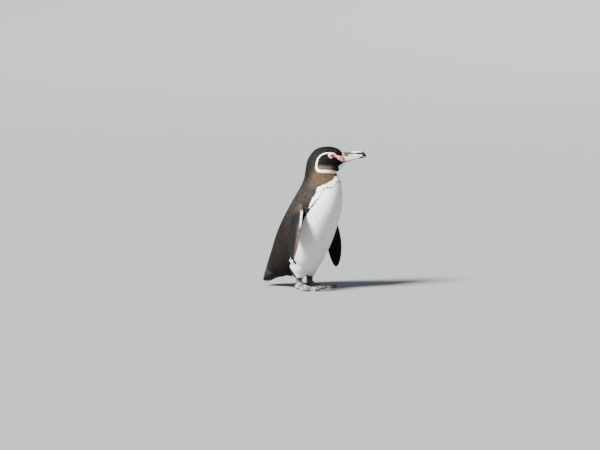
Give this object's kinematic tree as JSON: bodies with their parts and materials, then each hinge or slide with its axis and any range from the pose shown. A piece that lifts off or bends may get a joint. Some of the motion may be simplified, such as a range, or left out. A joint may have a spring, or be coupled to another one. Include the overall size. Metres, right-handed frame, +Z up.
{
  "type": "galapagos penguin",
  "caption": "Life-size standing Galapagos penguin, head turned to its left, flippers hanging clear of the body, with a short stiff tail and webbed feet.",
  "frame": {"origin": "on the floor under the middle of the standing bird's bounding box", "axes": "+X the way the body faces, +Y the bird's left, +Z up"},
  "size_m": [0.2569, 0.2212, 0.3487],
  "materials": {
    "dark_feathers": "matte plumage, brown-black above and white below",
    "brown_feathers": "matte plumage, brown",
    "flipper_feathers": "small dense scale-like feathers, blue-black with a pale leading edge",
    "bare_skin": "scaly skin, dark grey mottled with pinkish cream",
    "dark_horn": "worn grey horn",
    "pale_horn": "cream horn with a dark tip",
    "claw": "dark horn",
    "eye": "wet, dark red iris and black pupil"
  },
  "bodies": {
    "root": {"head": "dark_feathers", "neck": "brown_feathers", "trunk": "dark_feathers", "tail": "brown_feathers", "bill_upper": "dark_horn", "bill_lower": "pale_horn", "eye_left": "eye", "flipper_left": "flipper_feathers", "leg_left": "dark_feathers", "foot_left": "bare_skin", "claw_left_inner": "claw", "claw_left_middle": "claw", "claw_left_outer": "claw", "claw_left_hind": "claw", "eye_right": "eye", "flipper_right": "flipper_feathers", "leg_right": "dark_feathers", "foot_right": "bare_skin", "claw_right_inner": "claw", "claw_right_middle": "claw", "claw_right_outer": "claw", "claw_right_hind": "claw"}
  },
  "joints": []
}
